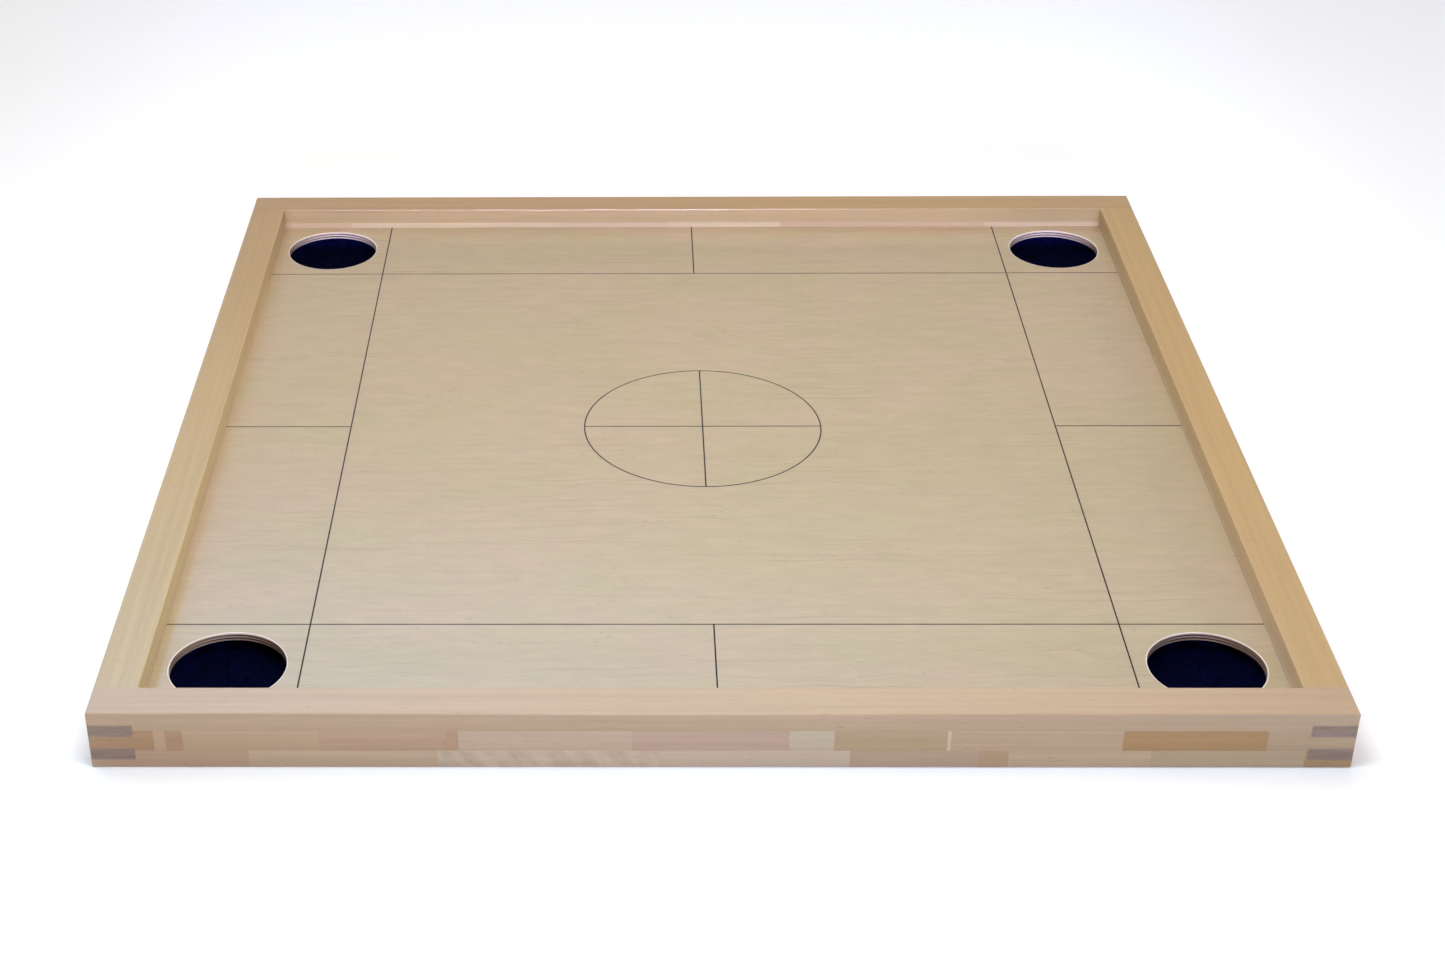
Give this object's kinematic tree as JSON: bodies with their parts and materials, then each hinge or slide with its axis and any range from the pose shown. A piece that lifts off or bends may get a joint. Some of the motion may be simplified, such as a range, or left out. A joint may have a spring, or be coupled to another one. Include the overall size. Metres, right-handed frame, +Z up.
{
  "type": "corner-pocket disc game board",
  "caption": "Square table-top game board: a lined plywood field sunk between finger-jointed rails, with a cloth pouch under a round hole in each corner.",
  "frame": {"origin": "middle of the plane that the rails stand on", "axes": "+X right along the front rail, +Y from the front rail to the back rail, +Z up out of the playing field"},
  "size_m": [1.078, 1.078, 0.0565],
  "materials": {
    "panel_ply": "birch plywood, satin clear lacquer",
    "line_ink": "dark brown ink line, filled flush and lacquered over",
    "rail_birch": "glued-laminated birch, satin clear lacquer",
    "pouch_cloth": "dark navy woven cloth, matte",
    "hem_webbing": "black woven webbing tape, matte",
    "staple_wire": "galvanised wire",
    "batten_pine": "planed softwood, bare",
    "screw_steel": "yellow zinc plated"
  },
  "bodies": {
    "root": {"playing_panel": "panel_ply", "marking_lines": "line_ink", "front_rail": "rail_birch", "back_rail": "rail_birch", "left_rail": "rail_birch", "right_rail": "rail_birch", "front_left_pouch": "pouch_cloth", "front_right_pouch": "pouch_cloth", "back_left_pouch": "pouch_cloth", "back_right_pouch": "pouch_cloth", "front_left_hem_tape": "hem_webbing", "front_right_hem_tape": "hem_webbing", "back_left_hem_tape": "hem_webbing", "back_right_hem_tape": "hem_webbing", "hem_staples": "staple_wire", "cross_batten": "batten_pine", "long_batten": "batten_pine", "batten_screws": "screw_steel"}
  },
  "joints": []
}
